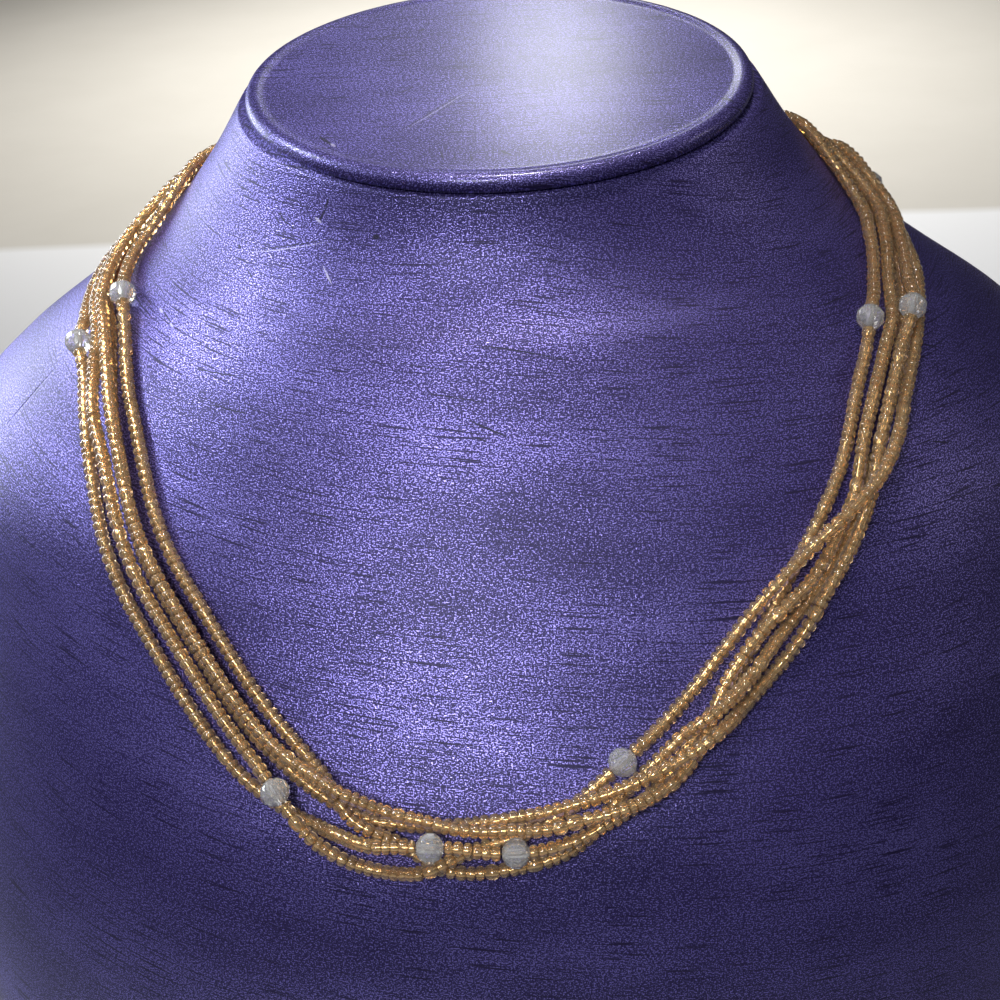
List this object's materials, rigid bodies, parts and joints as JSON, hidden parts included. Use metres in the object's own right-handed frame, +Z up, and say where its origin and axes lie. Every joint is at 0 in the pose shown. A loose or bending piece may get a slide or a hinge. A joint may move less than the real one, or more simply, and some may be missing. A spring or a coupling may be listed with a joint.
{
  "type": "multi strand necklace on a neck bust",
  "caption": "Loosely twisted necklace of thin glass seed bead strands with faceted crystal beads and a clasp at the nape, worn by a low neck and shoulders display bust.",
  "frame": {"origin": "on the surface that the bust stands on, under the middle of the whole object's width and depth", "axes": "+X is the wearer's left, which is the right side of the picture; -Y is the front of the chest; +Z is up"},
  "size_m": [0.3106, 0.178, 0.2535],
  "materials": {
    "leatherette": "pearlescent blue violet leatherette, brushed sideways",
    "bead_glass": "clear amber glass seed beads lined with bronze, on thread",
    "crystal_glass": "clear cut crystal",
    "clasp_metal": "antique gold, satin"
  },
  "bodies": {
    "root": {"bust_body": "leatherette", "bust_cap": "leatherette", "clasp": "clasp_metal", "strand_1": "bead_glass", "strand_2": "bead_glass", "strand_3": "bead_glass", "strand_4": "bead_glass", "strand_5": "bead_glass", "crystal_1": "crystal_glass", "crystal_2": "crystal_glass", "crystal_3": "crystal_glass", "crystal_4": "crystal_glass", "crystal_5": "crystal_glass", "crystal_6": "crystal_glass", "crystal_7": "crystal_glass", "crystal_8": "crystal_glass", "crystal_9": "crystal_glass"}
  },
  "joints": []
}
